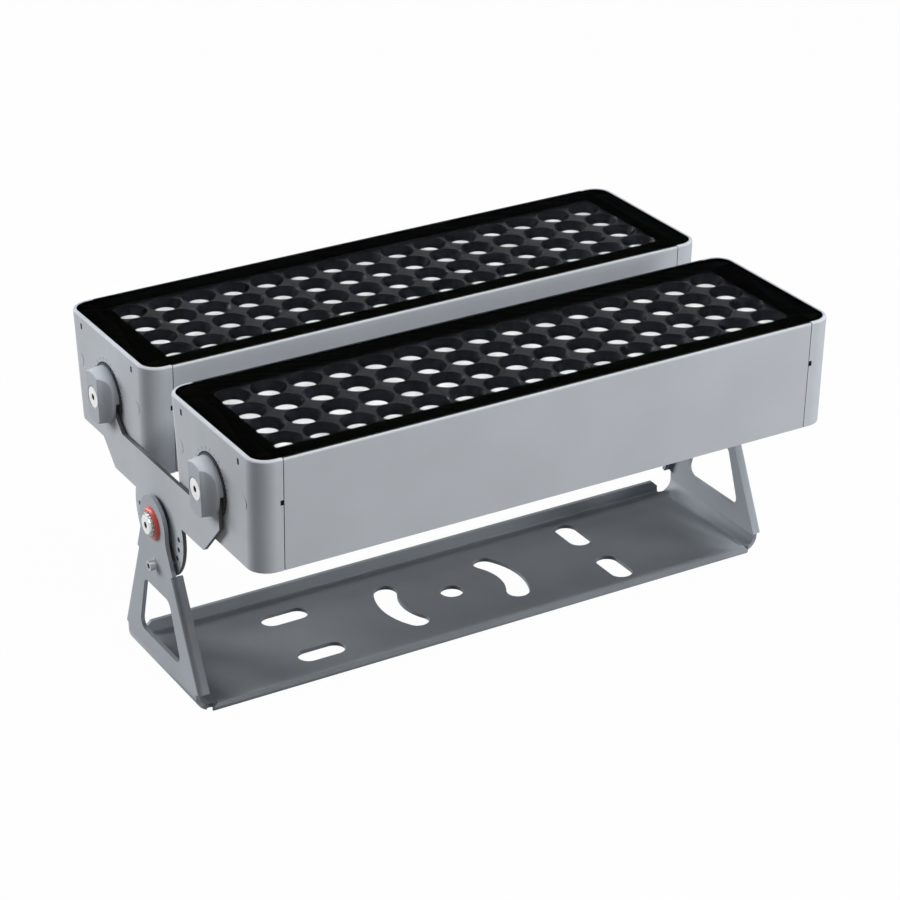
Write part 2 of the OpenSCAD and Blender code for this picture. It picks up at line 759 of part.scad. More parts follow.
// Right ear with its bend into the base, its two inward flanges and its holes
module ear() {
    difference() {
        union() {
            yz_plate(1, ear_in, ear_out) ear_outline();
            for (edge = [0, 1])
                at_flange(edge, ear_out - flange_w, -sheet_t, 0) cube([flange_w, sheet_t, flange_l(edge)]);
        }
        for (edge = [0, 1])
            at_flange(edge, ear_out - lip_bend_r, -lip_bend_r, -cut) linear_extrude(flange_l(edge) + cut)
                difference() {
                    square(lip_bend_r + cut);
                    circle(lip_bend_r + over);
                }
        yz_plate(1, ear_in - cut, ear_out + cut) {
            ear_window();
            translate([0, pivot_h]) circle(bolt_d / 2 + hole_play);
            translate([0, pivot_h - index_r]) circle(lock_d / 2 + hole_play);
        }
    }
    difference() {
        translate([ear_out - ear_bend_r, ear_web_w / 2, ear_bend_r])
            rotate([90, 0, 0]) linear_extrude(ear_web_w) intersection() {
                difference() {
                    circle(ear_bend_r);
                    circle(ear_bend_r - sheet_t);
                }
                translate([0, -ear_bend_r]) square(ear_bend_r);
            }
        translate([0, 0, -cut]) linear_extrude(ear_bend_r + 2 * cut) reliefs();
    }
}

module base_bracket()
    color("slategray") {
        linear_extrude(sheet_t) base_plan();
        for (edge = [0, 1]) lip(edge);
        for (m = [0, 1]) mirror([m, 0, 0]) ear();
    }

module pivot_bolts()
    color("white") translate([0, 0, pivot_h])
        for (side = [-1, 1]) {
            tip = arm_in - run_gap - nut_flange_t - nut_h - bolt_tip;
            seat = ear_out + collar_t + star_t;
            face = seat + bolt_head_h;
            difference() {
                union() {
                    x_round(side, tip, seat, bolt_d / 2, bolt_d / 2);
                    x_round(side, seat, face, bolt_head_r, bolt_head_r - bolt_head_edge);
                }
                x_round(side, face - key_depth, face + cut, key_r, key_r, $fn = 6);
            }
        }

module pivot_collars()
    color("tomato") translate([0, 0, pivot_h])
        for (side = [-1, 1])
            difference() {
                x_round(side, ear_out, ear_out + collar_t, collar_r, collar_top_r);
                x_round(side, ear_out - cut, ear_out + collar_t + cut,
                        bolt_d / 2 + hole_play, bolt_d / 2 + hole_play);
            }

module pivot_washers()
    color("dimgray") translate([0, 0, pivot_h])
        for (side = [-1, 1])
            yz_plate(side, ear_out + collar_t, ear_out + collar_t + star_t) difference() {
                toothed_outline(star_r, star_root_r, star_teeth);
                circle(bolt_d / 2 + hole_play);
            }

module pivot_spacers()
    color("dimgray") translate([0, 0, pivot_h])
        for (side = [-1, 1])
            yz_plate(side, arm_out + run_gap, ear_in) difference() {
                circle(spacer_r);
                circle(bolt_d / 2 + hole_play);
            }

module pivot_nuts()
    color("silver") translate([0, 0, pivot_h])
        for (side = [-1, 1]) {
            face = arm_in - run_gap;
            difference() {
                union() {
                    x_round(side, face - nut_flange_t, face, nut_flange_r - nut_flange_t, nut_flange_r);
                    x_round(side, face - nut_flange_t - nut_h, face - nut_flange_t, nut_r, nut_r, $fn = 6);
                }
                x_round(side, face - nut_flange_t - nut_h - cut, face + cut,
                        bolt_d / 2 + pin_play, bolt_d / 2 + pin_play);
            }
        }

module lock_screws()
    color("silver") translate([0, 0, pivot_h - index_r])
        for (side = [-1, 1]) {
            seat = ear_out + lock_washer_t;
            difference() {
                union() {
                    x_round(side, arm_out + run_gap, seat, lock_d / 2, lock_d / 2);
                    x_round(side, ear_out, seat, lock_washer_r, lock_washer_r);
                    x_round(side, seat, seat + lock_head_h, lock_head_r, lock_head_r);
                }
                x_round(side, seat + lock_head_h - lock_key_depth, seat + lock_head_h + cut,
                        lock_key_r, lock_key_r, $fn = 6);
            }
        }

base_bracket();
pivot_bolts();
pivot_collars();
pivot_washers();
pivot_spacers();
pivot_nuts();
lock_screws();
arm(-1);  // left_arm
arm(1);  // right_arm
knob(-1, -1);  // front_left_knob
knob(-1, 1);  // front_right_knob
knob(1, -1);  // rear_left_knob
knob(1, 1);  // rear_right_knob
knob_screws();
for (i = [0, 1]) {
    row = 2 * i - 1;
    housing(row);
    cap(row, -1);
    cap(row, 1);
    cap_gaskets(row);
    glass_gasket(row);
    border_mask(row);
    glass(row);
    lens_plates(row);
    lenses(row);
    led_boards(row);
    driver_box(row);
    toothed_rings(row);
    cap_screws(row);
    cap_plugs(row);
    cable_gland(row);
    vent_plug(row);
}
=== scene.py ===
"""Looks of an outdoor floodlight: two aimable lamps on a folded steel bracket.

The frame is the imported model's: X along the lamps, -Y the front, +Z up, with the origin under the middle
of the bracket. Blender's units are metres. The sizes of the floodlight's own pieces are in millimetres,
which MM turns to metres, and the studio's are in metres.
"""

import logging
import math
from dataclasses import dataclass, field
from enum import Enum
from typing import ClassVar

import bmesh
import bpy
from mathutils import Matrix, Vector


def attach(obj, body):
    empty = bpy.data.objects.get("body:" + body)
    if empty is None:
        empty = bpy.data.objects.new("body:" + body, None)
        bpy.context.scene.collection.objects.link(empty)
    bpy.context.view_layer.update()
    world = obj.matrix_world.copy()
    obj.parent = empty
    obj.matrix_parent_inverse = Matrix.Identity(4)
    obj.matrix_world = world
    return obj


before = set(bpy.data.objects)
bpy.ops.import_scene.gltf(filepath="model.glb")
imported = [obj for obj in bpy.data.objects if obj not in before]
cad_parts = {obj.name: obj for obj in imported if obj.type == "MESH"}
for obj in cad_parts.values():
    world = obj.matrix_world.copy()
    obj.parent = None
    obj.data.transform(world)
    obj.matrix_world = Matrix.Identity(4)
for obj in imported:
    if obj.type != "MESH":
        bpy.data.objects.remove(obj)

log = logging.getLogger("floodlight")

MM = 0.001

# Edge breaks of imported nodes: steps across one, least angle of an edge that gets one, and how close in
# millimetres two points lie before they are joined for it.
EDGE_STEPS = 2
EDGE_ANGLE = 35
WELD_MM = 0.001

# Sockets of the Mix node for colours, whose names its other types share.
MIX_UNDER = 6
MIX_OVER = 7
MIX_COLOUR = 2

Point = tuple[float, float, float]
Span = tuple[float, float]


class Row(Enum):
    """The two lamps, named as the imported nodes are."""

    FRONT = "front"
    REAR = "rear"


class Side(Enum):
    """The two ends of the floodlight, with the sign of their X."""

    LEFT = -1
    RIGHT = 1


@dataclass(frozen=True)
class Layout:
    """Places and small measures that several sub-assemblies share, in millimetres.

    The lamps' middles lie row_y before and behind the bracket's. Their hinges are at knob_z, the yoke's
    pivot at pivot_z and the bodies' tops at top_z. A dark piece of painted shade in a recess keeps
    recess_play off its walls, and a printed mark is as thick as ink.
    """

    row_y: float = 111.5
    knob_z: float = 247.5
    pivot_z: float = 163.5
    top_z: float = 304.5
    recess_play: float = 0.04
    ink: float = 0.04


LAYOUT = Layout()


def linear(tone: str) -> tuple[float, float, float, float]:
    """Turns an sRGB hex value into linear colour.

    Args:
        tone: six hex digits with a leading hash.

    Returns:
        Linear red, green and blue with an alpha of 1.
    """
    parts = [int(tone[i : i + 2], 16) / 255 for i in (1, 3, 5)]
    curve = [c / 12.92 if c <= 0.04045 else ((c + 0.055) / 1.055) ** 2.4 for c in parts]
    return (*curve, 1.0)


def per_metre(size_mm: float) -> float:
    """Gives the texture scale at which one pattern step measures size_mm."""
    return 1 / (size_mm * MM)


def add_node(
    tree: bpy.types.NodeTree,
    kind: str,
    values: dict[str | int, object] | None = None,
    links: dict[str | int, bpy.types.NodeSocket] | None = None,
    **settings: object,
) -> bpy.types.Node:
    """Adds one node with its settings, socket values and links.

    Args:
        tree: the node tree to add to.
        kind: the node's type name.
        values: default values by input name or index.
        links: source sockets by input name or index.
        settings: attributes of the node itself.

    Returns:
        The new node.
    """
    node = tree.nodes.new(kind)
    for name, value in settings.items():
        setattr(node, name, value)
    for key, value in (values or {}).items():
        node.inputs[key].default_value = value
    for key, source in (links or {}).items():
        tree.links.new(source, node.inputs[key])
    return node


def new_material(name: str) -> tuple[bpy.types.Material, bpy.types.NodeTree]:
    """Makes an empty material with nodes.

    Args:
        name: the finish's name.

    Returns:
        The material and its cleared node tree.
    """
    material = bpy.data.materials.new(name)
    material.use_nodes = True
    material.node_tree.nodes.clear()
    return material, material.node_tree


def object_place(tree: bpy.types.NodeTree, stretch: Point = (1, 1, 1)) -> bpy.types.NodeSocket:
    """Gives the place on the object in metres.

    Args:
        tree: the material's node tree.
        stretch: scale along each axis, where less than 1 draws a pattern out.

    Returns:
        The socket with the scaled place.
    """
    place = add_node(tree, "ShaderNodeTexCoord")
    mapping = add_node(tree, "ShaderNodeMapping", {"Scale": stretch}, {"Vector": place.outputs["Object"]})
    return mapping.outputs["Vector"]


def finish_surface(tree: bpy.types.NodeTree, shader: bpy.types.Node) -> None:
    """Links a shader to the material's output."""
    add_node(tree, "ShaderNodeOutputMaterial", links={"Surface": shader.outputs[0]})


@dataclass(frozen=True)
class Bead:
    """A black bead of sealant that laps from the glass over the rim on both long sides of each lamp.

    It covers what lies within reach of a lamp's middle line and less than drop below the top, in millimetres.
    """

    tone: str = "#060607"
    reach: float = 90.5
    drop: float = 0.5

    def lay(self, tree: bpy.types.NodeTree, colour: bpy.types.NodeSocket) -> bpy.types.NodeSocket:
        """Lays the bead over a colour.

        Args:
            tree: the material's node tree.
            colour: the colour under the bead.

        Returns:
            The colour with the bead.
        """
        place = add_node(tree, "ShaderNodeSeparateXYZ", links={0: object_place(tree)})
        from_centre = add_node(tree, "ShaderNodeMath", links={0: place.outputs["Y"]}, operation="ABSOLUTE")
        off_row = add_node(tree, "ShaderNodeMath", {1: LAYOUT.row_y * MM}, {0: from_centre.outputs[0]},
                           operation="SUBTRACT")
        from_row = add_node(tree, "ShaderNodeMath", links={0: off_row.outputs[0]}, operation="ABSOLUTE")
        inside = add_node(tree, "ShaderNodeMath", {1: self.reach * MM}, {0: from_row.outputs[0]},
                          operation="LESS_THAN")
        above = add_node(tree, "ShaderNodeMath", {1: (LAYOUT.top_z - self.drop) * MM},
                         {0: place.outputs["Z"]}, operation="GREATER_THAN")
        both = add_node(tree, "ShaderNodeMath", links={0: inside.outputs[0], 1: above.outputs[0]},
                        operation="MULTIPLY")
        mix = add_node(tree, "ShaderNodeMix", {MIX_OVER: linear(self.tone)},
                       {0: both.outputs[0], MIX_UNDER: colour}, data_type="RGBA")
        return mix.outputs[MIX_COLOUR]


@dataclass(frozen=True)
class Coat:
    """A paint, a bare metal or a moulded skin with a fine grain, a slow mottle and a satin gloss.

    The grain is the orange peel of a sprayed and baked powder, or a mould's spark texture. The mottle is the
    slight unevenness that a large coated face shows under soft light. An edge setting under 1 darkens the
    faces of a plate that stands square to X where they don't face along X, its cut edges: painted shade for
    the dark gap between the plate and what lies behind it.
    """

    name: str
    tone: str
    roughness: float
    grain_mm: float
    grain_depth_mm: float = 0.02
    mottle_mm: float = 70
    mottle: float = 0.06
    specular: float = 0.4
    metallic: float = 0.0
    stretch: Point = (1, 1, 1)
    # Share of the colour left on a plate's cut edges: under 1, painted shade there.
    edge_shade: float = 1.0
    bead: Bead | None = None

    # What all coats share: how strongly the grain bends the light and changes the gloss, the noise's steps
    # of detail, the noise values that bound the mottle's ramp, and how much of the normal lies along X where
    # the painted edge shade ends and the plate's face begins.
    grain_strength: ClassVar[float] = 0.25
    gloss_spread: ClassVar[float] = 0.1
    grain_detail: ClassVar[float] = 2.0
    mottle_detail: ClassVar[float] = 3.0
    ramp_stops: ClassVar[Span] = (0.3, 0.7)
    face_from: ClassVar[Span] = (0.5, 0.9)

    def build(self) -> bpy.types.Material:
        """Builds the material.

        Returns:
            The material with its node tree.
        """
        material, tree = new_material(self.name)
        base = linear(self.tone)[:3]
        tones = [(*(c * (1 + change) for c in base), 1) for change in (-self.mottle, self.mottle)]
        slow = add_node(tree, "ShaderNodeTexNoise",
                        {"Scale": per_metre(self.mottle_mm), "Detail": self.mottle_detail},
                        {"Vector": object_place(tree)})
        tint = add_node(tree, "ShaderNodeValToRGB", links={"Fac": slow.outputs["Fac"]})
        for stop, position, tone in zip(tint.color_ramp.elements, self.ramp_stops, tones):
            stop.position = position
            stop.color = tone
        grain = add_node(tree, "ShaderNodeTexNoise",
                         {"Scale": per_metre(self.grain_mm), "Detail": self.grain_detail},
                         {"Vector": object_place(tree, self.stretch)})
        gloss = add_node(tree, "ShaderNodeMapRange",
                         {"To Min": self.roughness * (1 - self.gloss_spread),
                          "To Max": self.roughness * (1 + self.gloss_spread)},
                         {"Value": grain.outputs["Fac"]})
        bump = add_node(tree, "ShaderNodeBump",
                        {"Strength": self.grain_strength, "Distance": self.grain_depth_mm * MM},
                        {"Height": grain.outputs["Fac"]})
        colour = tint.outputs["Color"]
        # Painted shade on a plate's cut edges, where the surface doesn't face along X.
        if self.edge_shade < 1:
            colour = self.paint_shade_on_edges(tree, colour)
        if self.bead:
            colour = self.bead.lay(tree, colour)
        shader = add_node(tree, "ShaderNodeBsdfPrincipled",
                          {"Metallic": self.metallic, "Specular IOR Level": self.specular},
                          {"Base Color": colour, "Roughness": gloss.outputs["Result"],
                           "Normal": bump.outputs["Normal"]})
        finish_surface(tree, shader)
        return material

    def paint_shade_on_edges(self, tree: bpy.types.NodeTree, colour: bpy.types.NodeSocket) -> bpy.types.NodeSocket:
        """Darkens a colour where the surface doesn't face along X, as painted shade on a plate's cut edges.

        Args:
            tree: the material's node tree.
            colour: the colour to darken.

        Returns:
            The colour with its painted edge shade.
        """
        place = add_node(tree, "ShaderNodeTexCoord")
        normal = add_node(tree, "ShaderNodeSeparateXYZ", links={0: place.outputs["Normal"]})
        facing = add_node(tree, "ShaderNodeMath", links={0: normal.outputs["X"]}, operation="ABSOLUTE")
        edge_ends, face_begins = self.face_from
        share = add_node(tree, "ShaderNodeMapRange",
                         {"From Min": edge_ends, "From Max": face_begins,
                          "To Min": self.edge_shade, "To Max": 1.0},
                         {"Value": facing.outputs[0]})
        scaled = add_node(tree, "ShaderNodeVectorMath", links={0: colour, 1: share.outputs["Result"]},
                          operation="MULTIPLY")
        return scaled.outputs["Vector"]


@dataclass(frozen=True)
class Pane:
    """Toughened float glass with an anti-reflective coat on both faces.

    The glass bends what lies below it as real float glass does, while its coat leaves only a faint
    mirror image.
    """

    name: str
    tone: str
    ior: float
    mirror: float
    mirror_roughness: float

    def build(self) -> bpy.types.Material:
        """Builds the material.

        Returns:
            The material with its node tree.
        """
        material, tree = new_material(self.name)
        through = add_node(tree, "ShaderNodeBsdfRefraction",
                           {"Color": linear(self.tone), "Roughness": 0.0, "IOR": self.ior})
        mirror = add_node(tree, "ShaderNodeBsdfAnisotropic",
                          {"Color": (1, 1, 1, 1), "Roughness": self.mirror_roughness})
        mix = add_node(tree, "ShaderNodeMixShader", {0: self.mirror},
                       {1: through.outputs[0], 2: mirror.outputs[0]})
        finish_surface(tree, mix)
        return material


class Finish(Enum):
    """Every finish on the floodlight, from what the real piece is and how its surface was made."""

    # Powder coat on folded steel: a satin grey skin with fine orange peel.
    # Its tone is held darker than the same powder on the caps and arms, as painted shade for the base under
    # the lamps.
    BRACKET_PAINT = Coat("powder_coated_steel_sheet", "#A1A7AE", roughness=0.6, grain_mm=1.1, specular=0.12)
    # The same powder on the thinner arm plates, with painted shade on their cut edges for the dark gap
    # between each plate and the caps.
    ARM_PAINT = Coat("powder_coated_arm_plate", "#B1B6BC", roughness=0.6, grain_mm=1.0, specular=0.12,
                     edge_shade=0.25)
    # Extruded aluminium with a silver-grey coat: the die leaves faint lines along the length.
    BODY_ALUMINIUM = Coat("satin_anodised_extruded_aluminium", "#ADB1B7", roughness=0.45, grain_mm=1.6,
                          grain_depth_mm=0.01, mottle=0.03, specular=0.15, metallic=0.08,
                          stretch=(0.02, 1, 1), bead=Bead())
    # Pressure die-cast caps under the same powder as the bracket, a shade lighter.
    CAP_PAINT = Coat("powder_coated_die_casting", "#B1B6BC", roughness=0.6, grain_mm=0.9, specular=0.12)
    # Die-cast knobs under that powder, a shade darker than the caps.
    KNOB_PAINT = Coat("powder_coated_knob_casting", "#A5AAB1", roughness=0.6, grain_mm=0.8, specular=0.12)
    # Black ceramic frit fired onto the glass: dense and smooth.
    BLACK_PRINT = Coat("fired_black_frit", "#030303", roughness=0.3, grain_mm=0.4, grain_depth_mm=0.002,
                       specular=0.1)
    # Cups moulded in black polycarbonate with polished walls, which mirror little through the glass.
    CUP_BLACK = Coat("polished_black_polycarbonate", "#080B12", roughness=0.32, grain_mm=2.0,
                     grain_depth_mm=0.004, mottle=0.1, specular=0.06)
    # Lenses moulded in clear acrylic over white emitters, which read as pale discs.
    LENS_WHITE = Coat("pale_acrylic_lens", "#DADADC", roughness=0.25, grain_mm=1.2, grain_depth_mm=0.05,
                      mottle_mm=8, mottle=0.05, specular=0.5)
    # White solder mask over a metal-core board.
    BOARD_WHITE = Coat("white_solder_mask", "#E4E4E0", roughness=0.5, grain_mm=0.6)
    # Stainless steel screws, turned and tumbled to a soft sheen.
    SCREW_STEEL = Coat("tumbled_stainless_steel", "#E3E3E2", roughness=0.32, grain_mm=0.5, mottle_mm=6,
                       metallic=0.55)
    # Steel washers and lock screws, passivated to a duller grey.
    DULL_STEEL = Coat("passivated_steel", "#A9ACB0", roughness=0.38, grain_mm=0.5, mottle_mm=6, metallic=0.5)
    # Cast toothed ring in a dark grey that stands in for the shade in the gaps between its teeth: painted
    # shade.
    RING_CASTING = Coat("ring_casting_painted_tooth_shade", "#4C4F54", roughness=0.6, grain_mm=0.6, specular=0.12)
    # Painted shade: near-black pieces set in slots and hex sockets, for the shade in their depth.
    PAINTED_RECESS_SHADE = Coat("painted_recess_shade", "#070708", roughness=0.8, grain_mm=0.8, specular=0.1)
    # Scale marks pad-printed in dark grey ink, flat and matt.
    SCALE_INK = Coat("pad_printed_grey_ink", "#4A4D52", roughness=0.6, grain_mm=0.5, grain_depth_mm=0.002,
                     specular=0.2)
    # Spring steel blackened in oil.
    DARK_STEEL = Coat("oil_blackened_spring_steel", "#24262A", roughness=0.4, grain_mm=0.5, metallic=0.5)
    # Insulating collar moulded in red nylon.
    RED_PLASTIC = Coat("moulded_red_nylon", "#C8473A", roughness=0.35, grain_mm=0.7, mottle_mm=10,
                       mottle=0.04, specular=0.5)
    # Black silicone seal, matt from its mould.
    SEAL_RUBBER = Coat("black_silicone_seal", "#0C0C0D", roughness=0.7, grain_mm=0.8, specular=0.3)
    # Bare aluminium case of the driver.
    DRIVER_CASE = Coat("bare_aluminium_case", "#B6B8BA", roughness=0.38, grain_mm=0.7, metallic=0.8)
    # Gland and vent moulded in black nylon.
    GLAND_PLASTIC = Coat("moulded_black_nylon", "#1B1C1E", roughness=0.5, grain_mm=0.6)
    # Toughened glass, clear to the cups below it.
    PANE_GLASS = Pane("toughened_float_glass", "#FDFDFD", ior=1.5, mirror=0.002, mirror_roughness=0.03)

    def material(self) -> bpy.types.Material:
        """Gives the finish's material, built once."""
        return bpy.data.materials.get(self.value.name) or self.value.build()


def dress(node: str, finish: Finish) -> None:
    """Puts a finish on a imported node.

    Args:
        node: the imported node's name.
        finish: its finish.
    """
    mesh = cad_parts[node].data
    mesh.materials.clear()
    mesh.materials.append(finish.material())
    log.info("dressed %s in %s", node, finish.value.name)


def soften(node: str, width: float) -> None:
    """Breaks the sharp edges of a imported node, so that they catch the light as real edges do.

    Args:
        node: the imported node's name.
        width: width of the edge break, in millimetres.
    """
    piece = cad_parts[node]
    weld = piece.modifiers.new("join_faces", "WELD")
    weld.merge_threshold = WELD_MM * MM
    bevel = piece.modifiers.new("edge_break", "BEVEL")
    bevel.width = width * MM
    bevel.segments = EDGE_STEPS
    bevel.limit_method = "ANGLE"
    bevel.angle_limit = math.radians(EDGE_ANGLE)
    bevel.use_clamp_overlap = True
    bevel.harden_normals = True


@dataclass(frozen=True)
class Block:
    """A straight block between two outlines along X that have as many points each, in millimetres."""

    near: tuple[Point, ...]
    far: tuple[Point, ...]


def cuboid(middle: Point, size: Point) -> Block:
    """Gives a block with sides along the axes.

    Args:
        middle: the block's middle, in millimetres.
        size: its size along X, Y and Z.

    Returns:
        The block.
    """
    (x, y, z), (a, b, c) = middle, (s / 2 for s in size)
    corners = ((-b, -c), (b, -c), (b, c), (-b, c))
    near, far = (tuple((end, y + v, z + w) for v, w in corners) for end in (x - a, x + a))
    return Block(near, far)


def rod(x: Span, y: float, z: float, radius: float, sides: int) -> Block:
    """Gives a rod along X with a corner at its top.

    Args:
        x: the X of its two ends, in millimetres.
        y: Y of its axis.
        z: Z of its axis.
        radius: distance from the axis to a corner.
        sides: how many sides it has.

    Returns:
        The rod as a block.
    """
    turns = [math.radians(90 + 360 * i / sides) for i in range(sides)]
    near, far = (tuple((end, y + radius * math.cos(t), z + radius * math.sin(t)) for t in turns) for end in x)
    return Block(near, far)


def tick(x: Span, y: float, z: float, angle: float, reach: Span, width: float) -> Block:
    """Gives one scale mark that points away from a centre.

    Args:
        x: the X of its two faces, in millimetres.
        y: Y of the centre.
        z: Z of the centre.
        angle: degrees from straight up towards +Y.
        reach: distances of its two ends from the centre.
        width: its width.

    Returns:
        The mark as a block.
    """
    out = Vector((0, math.sin(math.radians(angle)), math.cos(math.radians(angle))))
    across = Vector((0, out.z, -out.y)) * width / 2
    centre = Vector((0, y, z))
    inner, outer = reach
    outline = ((inner, -1), (inner, 1), (outer, 1), (outer, -1))
    corners = [centre + out * distance + across * way for distance, way in outline]
    near, far = (tuple((end, c.y, c.z) for c in corners) for end in x)
    return Block(near, far)


def make_piece(name: str, body: str, blocks: list[Block], finish: Finish) -> None:
    """Makes one piece from blocks given in millimetres, and lets it ride on a body.

    Args:
        name: the piece's name.
        body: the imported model's body that carries it.
        blocks: its closed blocks.
        finish: its finish.
    """
    points: list[Point] = []
    faces: list[tuple[int, ...]] = []
    for block in blocks:
        first, count = len(points), len(block.near)
        points += [tuple(c * MM for c in point) for point in (*block.near, *block.far)]
        faces.append(tuple(range(first, first + count)))
        faces.append(tuple(range(first + count, first + 2 * count)))
        for i in range(count):
            after = (i + 1) % count
            faces.append((first + i, first + after, first + count + after, first + count + i))
    mesh = bpy.data.meshes.new(name)
    mesh.from_pydata(points, [], faces)
    shell = bmesh.new()
    shell.from_mesh(mesh)
    bmesh.ops.recalc_face_normals(shell, faces=shell.faces[:])
    shell.to_mesh(mesh)
    shell.free()
    mesh.materials.append(finish.material())
    piece = bpy.data.objects.new(name, mesh)
    bpy.context.scene.collection.objects.link(piece)
    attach(piece, body)
    log.info("made %s on %s", name, body)


@dataclass(frozen=True)
class HexSocket:
    """A near-black piece in a hex socket of a screw that points along X, as painted shade for its depth, in
    millimetres.

    The head's face is at face_x, the socket's corners are corner_r from its axis, and the painted shade lies
    from top to bottom below the face.
    """

    face_x: float
    corner_r: float
    top: float
    bottom: float
    sides: ClassVar[int] = 6

    def depth(self, side: Side, y: float, z: float) -> Block:
        """Gives the painted shade piece of one socket.

        Args:
            side: the end of the floodlight.
            y: Y of the screw.
            z: Z of the screw.

        Returns:
            The painted shade piece as a block.
        """
        ends = (side.value * (self.face_x - self.bottom), side.value * (self.face_x - self.top))
        return rod(ends, y, z, self.corner_r - LAYOUT.recess_play, self.sides)


@dataclass(frozen=True)
class Scale:
    """Plain marks round a pivot, printed on a face square to X at both ends, in millimetres and degrees.

    Angles run from straight up towards +Y.
    """

    face_x: float
    first: int
    last: int
    reach: Span
    step: ClassVar[int] = 15
    mark_w: ClassVar[float] = 0.7

    def marks(self, y: float, z: float) -> list[Block]:
        """Gives the marks of both ends.

        Args:
            y: Y of the pivot.
            z: Z of the pivot.

        Returns:
            The marks as blocks.
        """
        angles = range(self.first, self.last + 1, self.step)
        return [tick((side.value * self.face_x, side.value * (self.face_x + LAYOUT.ink)),
                     y, z, angle, self.reach, self.mark_w)
                for side in Side for angle in angles]


@dataclass(frozen=True)
class SoftBox:
    """A square soft box, in metres and watts."""

    name: str
    place: Point
    width: float
    watts: float

    def hang(self, target: Point) -> None:
        """Hangs the soft box.

        Args:
            target: the point that it faces.
        """
        data = bpy.data.lights.new(self.name, "AREA")
        data.shape = "RECTANGLE"
        data.size = self.width
        data.size_y = self.width
        data.energy = self.watts
        light = bpy.data.objects.new(self.name, data)
        light.location = self.place
        light.rotation_mode = "QUATERNION"
        light.rotation_quaternion = (Vector(target) - Vector(self.place)).to_track_quat("-Z", "Y")
        bpy.context.scene.collection.objects.link(light)


@dataclass
class Studio:
    """Camera at the photograph's angle, a pale floor, a white surround and four soft boxes, in metres.

    The fill is how much of the surround lights the object. The floor_white is how much of the floor that
    the camera sees is plain white, and floor_grey is the tone of the rest, which takes the shadow.
    """

    eye: Point = (-1.21368, -2.17414, 1.37012)
    right: Point = (0.86918, -0.49425, -0.01554)
    up: Point = (0.22844, 0.37346, 0.89908)
    forward: Point = (0.43857, 0.78501, -0.43751)
    lens_mm: float = 115.15
    sensor_mm: float = 36.0
    sight: float = 100.0
    floor_w: float = 30.0
    floor_drop: float = 0.0002
    floor_grey: float = 0.28
    floor_white: float = 0.985
    fill: float = 0.01
    aim: Point = (0.0, 0.0, 0.2)
    soft_boxes: tuple[SoftBox, ...] = (
        SoftBox("low_rear_box", (-2.507, 3.716, 0.592), width=1.5, watts=168),
        SoftBox("high_left_box", (-2.985, 2.505, 2.45), width=1.5, watts=72),
        SoftBox("low_front_box", (1.526, -1.281, 0.374), width=0.6, watts=16),
        SoftBox("high_front_box", (0.245, -1.387, 2.849), width=1.2, watts=110),
    )

    def camera(self) -> None:
        """Makes the camera and sets it as the scene's."""
        data = bpy.data.cameras.new("camera")
        data.lens = self.lens_mm
        data.sensor_width = self.sensor_mm
        data.clip_end = self.sight
        camera = bpy.data.objects.new("camera", data)
        bpy.context.scene.collection.objects.link(camera)
        axes = Matrix([self.right, self.up, [-c for c in self.forward]]).transposed()
        camera.matrix_world = Matrix.Translation(self.eye) @ axes.to_4x4()
        bpy.context.scene.camera = camera

    def seen_white(self, tree: bpy.types.NodeTree) -> bpy.types.NodeSocket:
        """Gives 1 for what the camera, gloss and glass see, and 0 for light on the object.

        Args:
            tree: the node tree to add to.

        Returns:
            The socket with the value.
        """
        path = add_node(tree, "ShaderNodeLightPath")
        seen = add_node(tree, "ShaderNodeMath",
                        links={0: path.outputs["Is Camera Ray"], 1: path.outputs["Is Transmission Ray"]},
                        operation="MAXIMUM")
        white = add_node(tree, "ShaderNodeMath", links={0: seen.outputs[0], 1: path.outputs["Is Glossy Ray"]},
                         operation="MAXIMUM")
        return white.outputs[0]

    def world(self) -> None:
        """Makes a white surround that lights the object only as a low fill."""
        world = bpy.data.worlds.new("studio")
        world.use_nodes = True
        tree = world.node_tree
        tree.nodes.clear()
        strength = add_node(tree, "ShaderNodeMapRange", {"To Min": self.fill, "To Max": 1.0},
                            {"Value": self.seen_white(tree)})
        light = add_node(tree, "ShaderNodeBackground", {"Color": (1, 1, 1, 1)},
                         {"Strength": strength.outputs["Result"]})
        add_node(tree, "ShaderNodeOutputWorld", links={"Surface": light.outputs[0]})
        bpy.context.scene.world = world

    def floor(self) -> None:
        """Lays a pale floor that keeps the object's soft shadow."""
        mesh = bpy.data.meshes.new("floor")
        half = self.floor_w / 2
        corners = [(x, y, 0) for x, y in ((-half, -half), (half, -half), (half, half), (-half, half))]
        mesh.from_pydata(corners, [], [tuple(range(len(corners)))])
        floor = bpy.data.objects.new("floor", mesh)
        floor.location.z = -self.floor_drop
        bpy.context.scene.collection.objects.link(floor)
        material, tree = new_material("pale_studio_floor")
        lit = add_node(tree, "ShaderNodeBsdfDiffuse", {"Color": (*[self.floor_grey] * 3, 1)})
        glow = add_node(tree, "ShaderNodeEmission", {"Color": (1, 1, 1, 1), "Strength": 1.0})
        share = add_node(tree, "ShaderNodeMath", {1: self.floor_white}, {0: self.seen_white(tree)},
                         operation="MULTIPLY")
        mix = add_node(tree, "ShaderNodeMixShader",
                       links={0: share.outputs[0], 1: lit.outputs[0], 2: glow.outputs[0]})
        finish_surface(tree, mix)
        mesh.materials.append(material)

    def build(self) -> None:
        """Builds camera, surround, floor and soft boxes."""
        self.camera()
        self.world()
        self.floor()
        for soft_box in self.soft_boxes:
            soft_box.hang(self.aim)
        log.info("built the studio")


